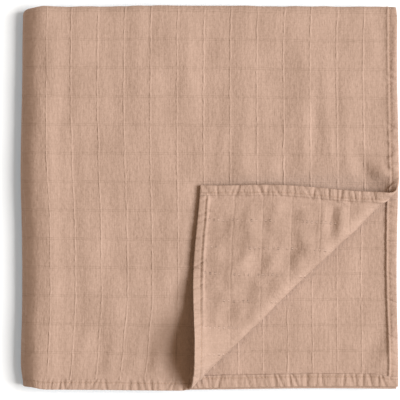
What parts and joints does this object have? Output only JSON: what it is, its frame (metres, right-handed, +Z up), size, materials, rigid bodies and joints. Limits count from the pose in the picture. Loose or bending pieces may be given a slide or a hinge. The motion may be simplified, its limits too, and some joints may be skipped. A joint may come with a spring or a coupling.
{
  "type": "folded swaddle blanket",
  "caption": "Square cotton muslin swaddle blanket folded into a flat layered pack, with its top corner turned back along a diagonal.",
  "frame": {"origin": "on the ground, under the middle of the folded pack's outline", "axes": "+Z up through the layers; the open hems face -Y and +X, the thick round fold is at -X and the second fold at +Y"},
  "size_m": [0.2964, 0.3018, 0.044],
  "materials": {
    "cotton_muslin": "matte, crinkled double muslin"
  },
  "bodies": {
    "root": {"folded_swaddle_blanket": "cotton_muslin"}
  },
  "joints": []
}
